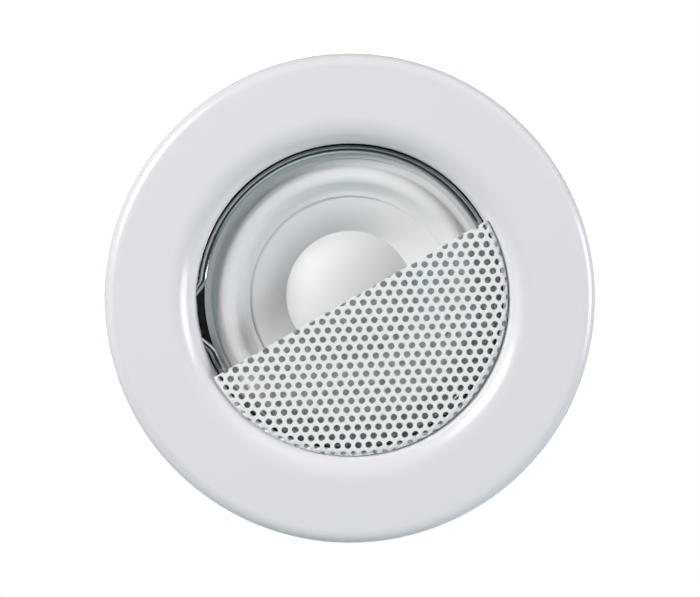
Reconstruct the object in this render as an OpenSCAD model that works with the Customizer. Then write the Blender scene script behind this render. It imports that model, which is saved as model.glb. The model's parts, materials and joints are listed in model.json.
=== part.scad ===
// Recessed ceiling and wall loudspeaker in a round downlight-style trim ring.
//
// Every module below is drawn about the speaker's own axis: the wall or ceiling panel is the plane z = 0,
// the listener is on the +z side, x is to the listener's right and y is up.
// fitted() then turns the whole thing to stand in a wall: front to -Y, up to +Z.

/* [Trim ring] */
// Outside diameter of the trim ring
ring_d = 82; // [80:0.5:86]
// Height of the trim ring's face above the panel
ring_h = 3.9; // [3.6:0.1:4.4]
// Thickness of the pressed steel sheet
sheet_t = 1; // [0.8:0.1:1]
// Diameter of the round mouth
mouth_d = 51.6; // [51.4:0.1:51.8]
// Radius of the rounding from the face into the mouth
mouth_roll = 4.8; // [4.4:0.1:5]
// Radius of the rounding at the outside edge
edge_roll = 2.2; // [1.8:0.1:2.4]
// Length of the collar behind the panel
collar_l = 14; // [13.5:0.5:15]

/* [Grille] */
// Outside diameter of the perforated grille
grille_d = 52.8; // [52.6:0.1:53]
// Thickness of the grille sheet
grille_t = 0.6; // [0.5:0.1:0.7]
// Height of the grille's face above the panel
grille_h = 2.75; // [2.6:0.05:2.9]
// Diameter of each hole
hole_d = 1.12; // [0.9:0.02:1.2]
// Distance from one hole to the next along a row
hole_pitch = 1.74; // [1.7:0.01:2]
// Distance from one row to the next
row_pitch = 1.49; // [1.46:0.01:1.73]
// Direction of the rows of holes, in degrees above level
row_angle = 2.2; // [0:0.2:10]
// Direction of the straight cut across the grille, in degrees above level
cut_angle = 30; // [0:1:60]

/* [Retaining ring] */
// Diameter of the spring wire that holds the driver in
clip_wire_d = 1.4; // [1.2:0.1:1.4]
// Depth of the wire's middle behind the panel
clip_depth = 2.1; // [2:0.05:2.15]

/* [Driver] */
// Diameter of the dust cap
cap_d = 21.6; // [20:0.2:23]
// Height of the dust cap's dome
cap_rise = 3; // [2:0.1:3.4]
// Diameter of the seam where the surround lies on the cone
seam_d = 33.8; // [33:0.2:34.4]
// Height of the surround's half roll
roll_rise = 1.4; // [1:0.1:1.6]
// Diameter of the magnet
magnet_d = 36; // [33:0.5:38]
// Thickness of the magnet
magnet_t = 6; // [5:0.5:8]

/* [Spring clips] */
// Diameter of the clip's spring wire
spring_wire_d = 1.2; // [1:0.1:1.3]
// Width of each clip's wire loop, between the middles of its legs
loop_w = 16.5; // [16.5:0.1:17]
// How far each clip is swung back from its rest against the ring, in degrees
clip_swing = 0; // [0:1:155]

/* [Hidden] */

fine = 180;
small = 48;
gap = 0.02;       // working gap between pieces that only touch

ring_r = ring_d / 2;
mouth_r = mouth_d / 2;
collar_r = mouth_r + sheet_t;
wire_r = clip_wire_d / 2;
wire_ring_r = mouth_r - 1;
wire_gap_mid = 187.5;   // direction of the gap between the wire's two ends
slot_half = 14;         // half the width of the collar's slot for those ends, in degrees

// Heights of the driver's faces on the axis; everything behind the panel is negative.
gasket_t = 0.8;
gasket_z = -clip_depth - wire_r;
rim_z = gasket_z - gasket_t;
rim_t = 1.2;
tab_z = rim_z - rim_t;
frame_t = 0.8;
ledge_z = -12.4;
floor_z = -14.7;
plate_z = floor_z - frame_t;
plate_t = 2.5;
magnet_z = plate_z - plate_t;
yoke_z = magnet_z - magnet_t;
yoke_t = 2.5;

// Radii of the driver, from the outside in.
rim_r = 25.75;
lip_r = 24.4;
lip_in_r = 23.3;
roll_out_r = 22.1;
roll_in_r = 18.7;
seam_r = seam_d / 2;
cap_r = cap_d / 2;
ledge_r = 13.6;
coil_r = 7;
pole_r = 6.5;
plate_r = 16;
plate_hole_r = 7.7;
rivet_circle = 11.4;
flange_z = -3.25;    // front of the surround's outer flange
surround_t = 0.35;
cone_t = 0.35;

// Spring clips: the hinge lies beside the collar, and at rest the arm's tip meets the back of the ring's face.
spring_r = spring_wire_d / 2;
coil_mean_r = 2.1;
pin_r = 1;
hinge_x = collar_r + 3.2;
hinge_z = -9.5;
sleeve_t = 0.45;
tip_x = hinge_x + 3.2;
tip_z = ring_h - sheet_t - 0.3 - spring_r - sleeve_t;
ear_y = 2.9;
ear_t = 1;
base_z = [-13, -5.6];
rivet_zs = [-7.1, -11.7];
clip_rivet_r = 1;
loop_y = loop_w / 2;
reach = norm([tip_x - hinge_x, tip_z - hinge_z]);
arm_l = sqrt(reach * reach - coil_mean_r * coil_mean_r);
arm_lean = atan2(tip_x - hinge_x, tip_z - hinge_z) + atan2(coil_mean_r, arm_l);
loop_bend = 2.4;     // radius of the loop's two corners

// ---------------------------------------------------------------- helpers

function arc(c, r, a0, a1, n = 12) =
    [for (i = [0:n]) let (a = a0 + (a1 - a0) * i / n) [c[0] + r * cos(a), c[1] + r * sin(a)]];

function bezier(p0, p1, p2, n = 16) =
    [for (i = [0:n]) let (t = i / n) (1 - t) * (1 - t) * p0 + 2 * t * (1 - t) * p1 + t * t * p2];

function backwards(list) = [for (i = [len(list) - 1:-1:0]) list[i]];

function shifted(list, by) = [for (p = list) p + by];

function unit(v) = v / norm(v);

function tangent(path, i) = unit(path[min(i + 1, len(path) - 1)] - path[max(i - 1, 0)]);

// A smooth step from 0 to 1.
function ease(t) = t * t * (3 - 2 * t);

module lathe(points, angle = 360) {
    rotate_extrude(angle = angle, $fn = fine) polygon(points);
}

module washer(r_out, r_in, z0, z1) {
    lathe([[r_in, z0], [r_out, z0], [r_out, z1], [r_in, z1]]);
}

// A round wire along a path that never runs parallel to up.
module wire(path, radius, sides = 8, up = [0, 0, 1]) {
    count = len(path);
    rings = [
        for (i = [0:count - 1])
            let (t = tangent(path, i), n = unit(cross(up, t)), b = cross(t, n))
                for (k = [0:sides - 1])
                    path[i] + radius * (cos(360 * k / sides) * n + sin(360 * k / sides) * b)
    ];
    quads = [
        for (i = [0:count - 2], k = [0:sides - 1])
            let (a = i * sides + k, b = i * sides + (k + 1) % sides)
                [a, a + sides, b + sides, b]
    ];
    sides_tri = [for (q = quads, s = [0, 1]) s == 0 ? [q[0], q[1], q[2]] : [q[0], q[2], q[3]]];
    start = [for (k = [0:sides - 1]) k];
    end = [for (k = [sides - 1:-1:0]) (count - 1) * sides + k];
    polyhedron(points = rings, faces = concat([start, end], sides_tri), convexity = 6);
}

module fitted() {
    rotate([90, 0, 0]) children();
}

// side is 1 for the clip on the right and -1 for the one on the left.
module on_side(side) {
    rotate([0, 0, side > 0 ? 0 : 180]) children();
}

// ---------------------------------------------------------------- trim ring

module trim_ring_blank() {
    face_c = [ring_r - edge_roll, ring_h - edge_roll];
    roll_c = [mouth_r + mouth_roll, ring_h - mouth_roll];
    groove_c = [mouth_r - 0.3, -clip_depth];
    groove_r = wire_r + 0.05;
    groove_a = acos(0.3 / groove_r);
    bead_r = groove_r + sheet_t;
    bead_a = acos((0.3 + sheet_t) / bead_r);
    lathe(concat(
        [[ring_r, 0]],
        arc(face_c, edge_roll, 0, 90),
        arc(roll_c, mouth_roll, 90, 180, 20),
        arc(groove_c, groove_r, groove_a, -groove_a, 8),
        [[mouth_r, -collar_l], [collar_r, -collar_l]],
        arc(groove_c, bead_r, -bead_a, bead_a, 8),
        arc(roll_c, mouth_roll - sheet_t, 180, 90),
        arc(face_c, edge_roll - sheet_t, 90, 0, 8),
        [[ring_r - sheet_t, 0]]
    ));
}

module trim_ring() {
    tab_w = 6;
    tab_in = 23.9;
    color("white") difference() {
        union() {
            difference() {
                trim_ring_blank();
                // windows that the four driver tabs are pressed out of
                for (a = [45:90:315]) rotate([0, 0, a])
                    translate([mouth_r - 2, -tab_w / 2, tab_z - 4.2]) cube([4, tab_w, 3.2]);
            }
            for (a = [45:90:315]) rotate([0, 0, a])
                translate([tab_in, -tab_w / 2, tab_z - sheet_t])
                    cube([mouth_r + 0.5 - tab_in, tab_w, sheet_t]);
        }
        // slot that the retaining ring's ends spring out into
        rotate([0, 0, wire_gap_mid - slot_half])
            lathe([
                [mouth_r - 1, -clip_depth - 0.85], [collar_r + 1, -clip_depth - 0.85],
                [collar_r + 1, -clip_depth + 0.85], [mouth_r - 1, -clip_depth + 0.85]
            ], 2 * slot_half);
        for (side = [1, -1]) on_side(side) clip_rivet_holes();
    }
}

module clip_rivet_holes() {
    for (z = rivet_zs)
        translate([mouth_r - 1, 0, z]) rotate([0, 90, 0]) cylinder(h = 4, r = clip_rivet_r, $fn = small);
}

// ---------------------------------------------------------------- grille

// Where one hole's centre lies, which places the whole pattern on the disc.
first_hole = [1.3, 0.9];

// Hole centres: staggered rows, turned by row_angle.
function hole_centres(limit) = let (n = ceil(limit / row_pitch) + 2) [
    for (j = [-n:n], i = [-2 * n:2 * n])
        let (
            x = (i + j / 2) * hole_pitch, y = j * row_pitch,
            p = first_hole
                + [x * cos(row_angle) - y * sin(row_angle), x * sin(row_angle) + y * cos(row_angle)]
        )
            if (norm(p) < limit && p * [sin(cut_angle), -cos(cut_angle)] > -hole_d / 2) p
];

module below_cut() {
    rotate([0, 0, cut_angle]) translate([-ring_r, -2 * ring_r]) square(2 * ring_r);
}

module grille() {
    rim_round = 1.3;
    flat_r = grille_d / 2 - rim_round;
    rim_c = [flat_r, grille_h - rim_round];
    color("whitesmoke") {
        translate([0, 0, grille_h - grille_t]) linear_extrude(grille_t) difference() {
            intersection() {
                circle(flat_r, $fn = fine);
                below_cut();
            }
            for (p = hole_centres(flat_r - hole_d / 2 - 0.15)) translate(p) circle(hole_d / 2, $fn = 20);
        }
        // the rim rolls back and rests on the rounding of the trim ring's mouth
        rotate([0, 0, cut_angle - 180]) lathe(concat(
            arc(rim_c, rim_round, 90, 0, 8),
            arc(rim_c, rim_round - grille_t, 0, 90, 6)
        ), 180);
    }
}

// ---------------------------------------------------------------- retaining ring

module retaining_ring() {
    bend = 10;         // degrees over which each end turns outwards
    gap_half = 5;      // half the gap between the ends, in degrees
    out = 2;           // how far the ends stand out
    from = wire_gap_mid - gap_half;
    span = 360 - 2 * gap_half;
    steps = 144;
    path = [
        for (i = [0:steps])
            let (
                along = span * i / steps,
                near = min(along, span - along) / bend,
                r = wire_ring_r + (near < 1 ? out * (1 - ease(near)) : 0),
                a = from - along
            )
                [r * cos(a), r * sin(a), -clip_depth]
    ];
    color("silver") wire(path, wire_r, 10);
}

// ---------------------------------------------------------------- driver

module rim_gasket() {
    color("black") washer(rim_r, lip_r + 0.05, rim_z + gap, gasket_z - gap);
}

module driver_frame() {
    windows = 4;
    spoke = 16;      // width of each spoke, in degrees
    outside = [
        [rim_r, rim_z], [lip_r, rim_z], [lip_r, gasket_z + 0.1], [lip_in_r, gasket_z + 0.1],
        [lip_in_r, flange_z - 0.4], [22.8, flange_z - 0.4], [21.8, -8.5], [16.2, ledge_z],
        [ledge_r, ledge_z], [ledge_r, floor_z], [9, floor_z],
        [9, plate_z], [ledge_r + frame_t, plate_z], [ledge_r + frame_t, ledge_z - frame_t],
        [16.6, ledge_z - frame_t], [22.6, -8.9], [23.5, tab_z], [rim_r, tab_z]
    ];
    color("gainsboro") difference() {
        union() {
            lathe(outside);
            // tab that carries the terminal board
            translate([-3.5, ledge_r, plate_z]) cube([7, 8, frame_t]);
        }
        for (i = [0:windows - 1])
            rotate([0, 0, 90 + spoke / 2 + i * 360 / windows])
                lathe([[17, -16], [30, -16], [30, -8.2], [21, -8.2], [17, -11]], 360 / windows - spoke);
        for (a = [45:90:315])
            rotate([0, 0, a]) translate([rivet_circle, 0, plate_z - 1])
                cylinder(h = 3, r = 0.9, $fn = small);
        translate([0, 19, plate_z - 1]) cylinder(h = 3, r = 0.8, $fn = small);
    }
}

module surround() {
    half = (roll_out_r - roll_in_r) / 2;
    bow_r = (half * half + roll_rise * roll_rise) / (2 * roll_rise);
    bow_c = [roll_in_r + half, flange_z + roll_rise - bow_r];
    bow_a = asin(half / bow_r);
    seam_z = cone_seam[1] + gap;
    color("whitesmoke") lathe(concat(
        [[lip_in_r - gap, flange_z]],
        arc(bow_c, bow_r, 90 - bow_a, 90 + bow_a, 16),
        [[seam_r, seam_z + surround_t], [seam_r, seam_z]],
        [cone_edge + [0, gap], [roll_in_r, flange_z - surround_t]],
        arc(bow_c, bow_r - surround_t, 90 + bow_a * 0.94, 90 - bow_a * 0.94, 12),
        [[roll_out_r, flange_z - surround_t], [lip_in_r - gap, flange_z - surround_t]]
    ));
}

// The cone's front, from its edge under the surround, past the seam, and in a curve to the coil former.
cone_edge = [18.3, flange_z - surround_t - gap];
cone_seam = [seam_r, cone_edge[1] - 0.42 * (cone_edge[0] - seam_r)];
cone_pts = concat([cone_edge], bezier(cone_seam, [11.9, -5.3], [coil_r + 0.08, -11.2]));

// Height of the cone's front face at a radius, between the points of its curve.
function cone_front(r) = lookup(r, [for (p = backwards(cone_pts)) [p[0], p[1]]]);

module cone() {
    color("white") lathe(concat(cone_pts, backwards(shifted(cone_pts, [0, -cone_t]))));
}

module dust_cap() {
    edge_z = cone_front(cap_r) + gap;
    cap_t = 0.3;
    dome_r = (cap_r * cap_r + cap_rise * cap_rise) / (2 * cap_rise);
    dome_c = [0, edge_z + cap_rise - dome_r];
    dome_a = asin(cap_r / dome_r);
    inner_a = asin((cap_r - 0.35) / (dome_r - cap_t));
    color("white") lathe(concat(
        arc(dome_c, dome_r, 90 - dome_a, 90, 20),
        arc(dome_c, dome_r - cap_t, 90, 90 - inner_a, 20)
    ));
}

module coil_former() {
    color("burlywood") washer(coil_r + 0.05, coil_r - 0.2, -19.4, -10.7);
}

module coil_winding() {
    color("peru") washer(coil_r + 0.4, coil_r + 0.07, -19.2, -15.2);
}

module spider() {
    inner_r = coil_r + 0.08;
    wave_from = 7.7;
    wave_to = 13.3;
    waves = 3;
    swing = 0.5;
    mid = ledge_z + 0.17;
    steps = 48;
    front = concat(
        [[inner_r, mid + 0.15]],
        [for (i = [0:steps]) [
            wave_from + (wave_to - wave_from) * i / steps,
            mid + 0.15 + swing * sin(360 * waves * i / steps)
        ]],
        [[15.6, mid + 0.15]]
    );
    color("goldenrod") lathe(concat(front, backwards(shifted(front, [0, -0.3]))));
}

module top_plate() {
    color("darkgray") difference() {
        washer(plate_r, plate_hole_r, magnet_z, plate_z - gap);
        for (a = [45:90:315])
            rotate([0, 0, a]) translate([rivet_circle, 0, plate_z - 1.6])
                cylinder(h = 3, r = 0.9, $fn = small);
    }
}

module magnet() {
    chamfer = 0.6;
    r = magnet_d / 2;
    color("dimgray") lathe([
        [9.6, magnet_z - gap], [r - chamfer, magnet_z - gap], [r, magnet_z - chamfer],
        [r, yoke_z + chamfer], [r - chamfer, yoke_z + gap], [9.6, yoke_z + gap]
    ]);
}

module yoke() {
    bevel = 0.8;
    color("darkgray") lathe([
        [0, plate_z], [pole_r, plate_z], [pole_r, yoke_z], [plate_r + 0.5, yoke_z],
        [plate_r + 0.5, yoke_z - yoke_t + bevel], [plate_r + 0.5 - bevel, yoke_z - yoke_t],
        [0, yoke_z - yoke_t]
    ]);
}

module frame_rivets() {
    color("silver") for (a = [45:90:315]) rotate([0, 0, a]) translate([rivet_circle, 0, 0])
        lathe_small([
            [0, plate_z - 1.5], [0.88, plate_z - 1.5], [0.88, floor_z + gap], [1.6, floor_z + gap],
            [1.6, floor_z + 0.3], [1.1, floor_z + 0.65], [0, floor_z + 0.65]
        ]);
}

module lathe_small(points) {
    rotate_extrude($fn = small) polygon(points);
}

// ---------------------------------------------------------------- terminals

board_t = 1;
board_y = [16.7, 24.5];
board_z = plate_z - gap;
tag_x = 5.6;
tag_t = 0.4;

module terminal_board() {
    corner = 1;
    color("sienna") translate([0, 0, board_z - board_t]) linear_extrude(board_t) difference() {
        translate([-8.2 + corner, board_y[0] + corner])
            offset_square([16.4 - 2 * corner, board_y[1] - board_y[0] - 2 * corner], corner);
        translate([0, 19]) circle(0.8, $fn = small);
        for (s = [-1, 1]) translate([s * tag_x, 19]) circle(0.7, $fn = small);
    }
}

// A square grown by a corner radius on every side, with round corners.
module offset_square(size, corner) {
    translate([-corner, 0]) square(size + [2 * corner, 0]);
    translate([0, -corner]) square(size + [0, 2 * corner]);
    for (x = [0, size[0]], y = [0, size[1]]) translate([x, y]) circle(corner, $fn = small);
}

module terminal_rivet() {
    color("silver") translate([0, 19, 0]) lathe_small([
        [0, board_z - board_t - 0.7], [1.1, board_z - board_t - 0.7], [1.5, board_z - board_t - 0.3],
        [1.5, board_z - board_t - gap], [0.78, board_z - board_t - gap], [0.78, floor_z + gap],
        [1.5, floor_z + gap], [1.5, floor_z + 0.3], [1.1, floor_z + 0.6], [0, floor_z + 0.6]
    ]);
}

module terminal_tags() {
    back = board_z - board_t - gap;
    color("gold") for (s = [-1, 1]) translate([s * tag_x, 0, 0]) {
        // blade with a solder hole
        translate([0, 0, back - tag_t]) linear_extrude(tag_t) difference() {
            union() {
                translate([-1.4, 17.6]) square([2.8, 9.6]);
                translate([0, 27.2]) circle(1.4, $fn = small);
            }
            translate([0, 27]) circle(0.65, $fn = small);
        }
        // eyelet through the board
        translate([0, 19, back - tag_t / 2]) cylinder(h = board_t + tag_t / 2 + 0.35, r = 0.68, $fn = small);
    }
}

// Braided lead from the back of the cone, out through a window of the frame, to its eyelet.
module lead(s) {
    cone_end = [s * 4.3, 10.9, cone_front(11.72) - cone_t - 0.3];
    eyelet = [s * tag_x, 19, board_z + 0.8];
    path = bezier(cone_end, [s * 5.2, 20.5, -9.4], eyelet, 16);
    color("chocolate") wire(path, 0.3, 8, [1, 0, 0]);
}

// ---------------------------------------------------------------- spring clips

module clip_bracket() {
    half_a = asin((ear_y + ear_t) / (collar_r + sheet_t / 2));
    inside = collar_r + gap;
    color("lightsteelblue") difference() {
        union() {
            rotate([0, 0, -half_a]) lathe([
                [inside, base_z[0]], [inside + sheet_t, base_z[0]],
                [inside + sheet_t, base_z[1]], [inside, base_z[1]]
            ], 2 * half_a);
            for (y = [-ear_y - ear_t, ear_y]) translate([0, y, 0]) ear();
        }
        clip_rivet_holes();
    }
}

module ear() {
    boss = 2.2;
    // drawn in x and z, then stood up so that its thickness runs along +y
    translate([0, ear_t, 0]) rotate([90, 0, 0]) linear_extrude(ear_t) difference() {
        union() {
            polygon([
                [collar_r + 0.2, base_z[1]], [collar_r + 1.4, base_z[1]],
                [hinge_x + boss * cos(40), hinge_z + boss * sin(40)],
                [hinge_x + boss * cos(40), hinge_z - boss * sin(40)],
                [collar_r + 1.4, base_z[0]], [collar_r + 0.2, base_z[0]]
            ]);
            translate([hinge_x, hinge_z]) circle(boss, $fn = small);
        }
        translate([hinge_x, hinge_z]) circle(pin_r + 0.05, $fn = small);
    }
}

module clip_rivets() {
    r = clip_rivet_r - gap;
    head_in = mouth_r - 0.35;
    wall_out = collar_r + sheet_t + gap;
    // the head inside the collar starts where the curved wall is furthest in
    color("silver") for (z = rivet_zs) translate([0, 0, z]) rotate([0, 90, 0]) lathe_small([
        [0, head_in - 0.5], [1.1, head_in - 0.5], [1.5, head_in - 0.2], [1.5, head_in + 0.25],
        [r, head_in + 0.25], [r, wall_out + gap], [1.6, wall_out + gap], [1.6, wall_out + 0.3],
        [1.1, wall_out + 0.65], [0, wall_out + 0.65]
    ]);
}

module clip_pin() {
    half = loop_y + spring_r + 0.15;
    color("silver") translate([hinge_x, 0, hinge_z]) rotate([90, 0, 0]) lathe_small([
        [0, -half - 0.8], [1.3, -half - 0.8], [1.8, -half - 0.4], [1.8, -half], [pin_r, -half],
        [pin_r, half], [1.8, half], [1.8, half + 0.4], [1.3, half + 0.8], [0, half + 0.8]
    ]);
}

// A point on the spring's coil, at an angle from +x towards +z.
function on_coil(a, y) = [hinge_x + coil_mean_r * cos(a), y, hinge_z + coil_mean_r * sin(a)];

// The two fixed coils of one clip: each tail bears on the collar's wall, and each coil winds outwards along the pin.
module clip_spring() {
    turns = 1.75;
    steps = 42;
    y0 = ear_y + ear_t + spring_r + 0.1;
    y1 = loop_y - 1.25 * spring_wire_d;
    start = 169;       // where the tail runs into the coil
    tail_l = 4.7;
    tail = [-sin(start), 0, cos(start)] * tail_l;
    color("lightgray") for (s = [-1, 1]) {
        coil = [
            for (i = [0:steps])
                on_coil(start - 360 * turns * i / steps, s * (y0 + (y1 - y0) * max(0, i / steps - 0.05) / 0.95))
        ];
        wire(concat([coil[0] + tail, coil[0] + tail / 2], coil), spring_r, 8, [0, 1, 0]);
    }
}

// The moving loop: its last turn round the pin, two legs, and the bar that presses on the panel.
module clip_arm() {
    leave = 180 - arm_lean;      // where the legs leave the coil
    d = [sin(arm_lean), 0, cos(arm_lean)];
    bends = 5;
    turn_steps = 22;
    turn = 275;                  // degrees of wire round the pin
    function half_path(s) = concat(
        [for (i = [0:turn_steps]) on_coil(leave + turn * (1 - i / turn_steps), s * loop_y)],
        [on_coil(leave, s * loop_y) + d * (arm_l - loop_bend)],
        [for (i = [1:bends]) let (a = 90 * i / bends)
            on_coil(leave, s * (loop_y - loop_bend + loop_bend * cos(a)))
                + d * (arm_l - loop_bend + loop_bend * sin(a))]
    );
    color("lightgray") wire(concat(half_path(1), backwards(half_path(-1))), spring_r, 8, [d[2], 0, -d[0]]);
}

module clip_sleeve() {
    half = loop_y - loop_bend - 0.3;
    color("ivory") translate([tip_x, 0, tip_z]) rotate([90, 0, 0])
        lathe_small([
            [spring_r + 0.05, -half], [spring_r + sleeve_t, -half],
            [spring_r + sleeve_t, half], [spring_r + 0.05, half]
        ]);
}

// Turns a clip's moving pieces back from their rest.
module swung() {
    translate([hinge_x, 0, hinge_z]) rotate([0, clip_swing, 0]) translate([-hinge_x, 0, -hinge_z]) children();
}

// ---------------------------------------------------------------- nodes

fitted() trim_ring();
fitted() grille();
fitted() retaining_ring();
fitted() rim_gasket();
fitted() driver_frame();
fitted() surround();
fitted() cone();
fitted() dust_cap();
fitted() coil_former();
fitted() coil_winding();
fitted() spider();
fitted() top_plate();
fitted() magnet();
fitted() yoke();
fitted() frame_rivets();
fitted() terminal_board();
fitted() terminal_rivet();
fitted() terminal_tags();
fitted() lead(-1);  // lead_left
fitted() lead(1);  // lead_right
fitted() on_side(-1) clip_bracket();  // left_bracket
fitted() on_side(-1) clip_rivets();  // left_rivets
fitted() on_side(-1) clip_pin();  // left_pin
fitted() on_side(-1) clip_spring();  // left_spring
fitted() on_side(-1) swung() clip_arm();  // left_arm
fitted() on_side(-1) swung() clip_sleeve();  // left_sleeve
fitted() on_side(1) clip_bracket();  // right_bracket
fitted() on_side(1) clip_rivets();  // right_rivets
fitted() on_side(1) clip_pin();  // right_pin
fitted() on_side(1) clip_spring();  // right_spring
fitted() on_side(1) swung() clip_arm();  // right_arm
fitted() on_side(1) swung() clip_sleeve();  // right_sleeve
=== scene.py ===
"""The looks of a recessed loudspeaker in a round trim ring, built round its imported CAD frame."""

import json
import math

import bmesh
import bpy
from mathutils import Matrix, Vector
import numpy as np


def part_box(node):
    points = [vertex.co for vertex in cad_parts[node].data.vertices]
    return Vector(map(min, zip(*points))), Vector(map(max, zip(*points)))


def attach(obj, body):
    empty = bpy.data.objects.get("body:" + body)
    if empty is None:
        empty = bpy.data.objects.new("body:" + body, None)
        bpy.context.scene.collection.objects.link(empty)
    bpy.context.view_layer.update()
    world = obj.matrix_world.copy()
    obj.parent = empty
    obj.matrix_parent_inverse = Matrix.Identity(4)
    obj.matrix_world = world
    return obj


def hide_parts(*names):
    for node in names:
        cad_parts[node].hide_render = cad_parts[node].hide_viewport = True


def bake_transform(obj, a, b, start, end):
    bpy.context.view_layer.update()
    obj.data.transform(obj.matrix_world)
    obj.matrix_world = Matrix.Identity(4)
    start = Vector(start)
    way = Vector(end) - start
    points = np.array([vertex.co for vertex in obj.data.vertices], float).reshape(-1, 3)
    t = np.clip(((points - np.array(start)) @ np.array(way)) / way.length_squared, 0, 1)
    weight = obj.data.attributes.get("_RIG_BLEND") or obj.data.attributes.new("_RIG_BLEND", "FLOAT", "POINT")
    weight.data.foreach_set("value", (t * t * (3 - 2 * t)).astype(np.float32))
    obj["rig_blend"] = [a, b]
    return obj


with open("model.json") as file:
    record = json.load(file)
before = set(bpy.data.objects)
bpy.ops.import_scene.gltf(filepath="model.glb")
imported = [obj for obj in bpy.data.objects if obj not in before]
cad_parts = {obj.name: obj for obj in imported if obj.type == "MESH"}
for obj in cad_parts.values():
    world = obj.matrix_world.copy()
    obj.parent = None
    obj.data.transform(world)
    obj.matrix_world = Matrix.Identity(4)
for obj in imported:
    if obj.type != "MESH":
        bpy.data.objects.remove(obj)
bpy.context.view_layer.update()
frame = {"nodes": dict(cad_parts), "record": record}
NODES = frame["nodes"]
MM = 0.001

# Sizes in millimetres, about the speaker's own axis: z is towards the listener and 0 at the panel.
# They repeat part.scad where a box of a CAD node doesn't give them.
# HAIR keeps faces from lying exactly on each other.
RING_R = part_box("trim_ring")[1].x / MM
RING_H = -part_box("trim_ring")[0].y / MM
COLLAR_BACK = -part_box("trim_ring")[1].y / MM
SHEET = 1.0
MOUTH_R, MOUTH_ROLL, EDGE_ROLL = 25.8, 4.8, 2.2
COLLAR_R = MOUTH_R + SHEET
CLIP_DEPTH, CLIP_R, CLIP_RING_R = 2.1, 0.7, MOUTH_R - 1
CLIP_GAP_MID = 187.5
GASKET_Z = -CLIP_DEPTH - CLIP_R
RIM_Z = GASKET_Z - 0.8
TAB_Z = RIM_Z - 1.2
RIM_R, LIP_R, LIP_IN_R = 25.75, 24.4, 23.3
ROLL_OUT, ROLL_IN, SEAM_R, CAP_R = 22.1, 18.7, 16.9, 10.8
FLANGE_Z, SURROUND_T, ROLL_RISE = -3.25, 0.35, 1.4
LEDGE_Z, FLOOR_Z = -12.4, -14.7
PLATE_Z = FLOOR_Z - 0.8
COIL_R = 7.0
GRILLE_R, GRILLE_H, GRILLE_T, RIM_ROUND = 26.4, 2.75, 0.6, 1.3
HOLE_R, PITCH, ROW, ROW_TURN, FIRST_HOLE, CUT_TURN = 0.56, 1.74, 1.49, 2.2, (1.3, 0.9), 30.0
HINGE_X, HINGE_Z, WIRE_R, COIL_MEAN_R, LOOP_Y = 30.0, -9.5, 0.6, 2.1, 8.25
TIP_X, TIP_Z, LOOP_BEND = 33.2, 1.55, 2.4
EAR_Y, EAR_T = 2.9, 1.0
RIVET_CIRCLE, DIAGONALS = 11.4, (45, 135, 225, 315)
MAGNET_FRONT, MAGNET_BACK = PLATE_Z - 2.5, PLATE_Z - 8.5
EYELET_X, BOARD_Y = 5.6, 19
LEAD_X, LEAD_Y, LEAD_R = 4.3, 10.9, 11.72
HAIR = 0.02


# ---------------------------------------------------------------- shapes

def place(x, y, z):
    """A point of the speaker's own frame, in millimetres, as a point of the row frame, in metres."""
    return Vector((x, -z, y)) * MM


def arc(centre, radius, start, end, steps=12):
    """Points on an arc in (r, z), angles in degrees."""
    return [
        (
            centre[0] + radius * math.cos(math.radians(start + (end - start) * i / steps)),
            centre[1] + radius * math.sin(math.radians(start + (end - start) * i / steps)),
        )
        for i in range(steps + 1)
    ]


def bezier(a, b, c, steps=16):
    a, b, c = Vector(a), Vector(b), Vector(c)
    return [
        tuple((1 - t) * (1 - t) * a + 2 * t * (1 - t) * b + t * t * c)
        for t in (i / steps for i in range(steps + 1))
    ]


def ease(t):
    t = min(max(t, 0.0), 1.0)
    return t * t * (3 - 2 * t)


def add(name, verts, faces, sharp=35, merge=0.0):
    """A smooth-shaded mesh object whose edges above an angle stay sharp."""
    mesh = bpy.data.meshes.new(name)
    mesh.from_pydata([tuple(v) for v in verts], [], faces)
    bm = bmesh.new()
    bm.from_mesh(mesh)
    if merge:
        bmesh.ops.remove_doubles(bm, verts=bm.verts, dist=merge)
    bmesh.ops.recalc_face_normals(bm, faces=bm.faces)
    bm.to_mesh(mesh)
    bm.free()
    smooth(mesh, sharp)
    piece = bpy.data.objects.new(name, mesh)
    bpy.context.scene.collection.objects.link(piece)
    return piece


def smooth(mesh, sharp):
    mesh.shade_smooth()
    mesh.set_sharp_from_angle(angle=math.radians(sharp))


def turned_faces(profile, segments):
    """The faces between copies of a closed profile about an axis, without those that would lie on the axis."""
    faces, count, on_axis = [], len(profile), 1e-6
    for i in range(segments):
        j = (i + 1) % segments
        for k in range(count):
            m = (k + 1) % count
            if profile[k][0] >= on_axis or profile[m][0] >= on_axis:
                faces.append((i * count + k, j * count + k, j * count + m, i * count + m))
    return faces


def strung_faces(rings, sides):
    """The faces between rings of points along a path, and one across each end."""
    faces = []
    for i in range(rings - 1):
        for k in range(sides):
            m = (k + 1) % sides
            faces.append((i * sides + k, i * sides + m, (i + 1) * sides + m, (i + 1) * sides + k))
    faces.append(tuple(range(sides)))
    faces.append(tuple((rings - 1) * sides + k for k in reversed(range(sides))))
    return faces


def lathe(name, profile, segments=240, sharp=35):
    """Turns a closed profile of (r, z) points about the speaker's axis."""
    verts = []
    for i in range(segments):
        a = 2 * math.pi * i / segments
        verts += [place(r * math.cos(a), r * math.sin(a), z) for r, z in profile]
    return add(name, verts, turned_faces(profile, segments), sharp, merge=1e-7)


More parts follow.
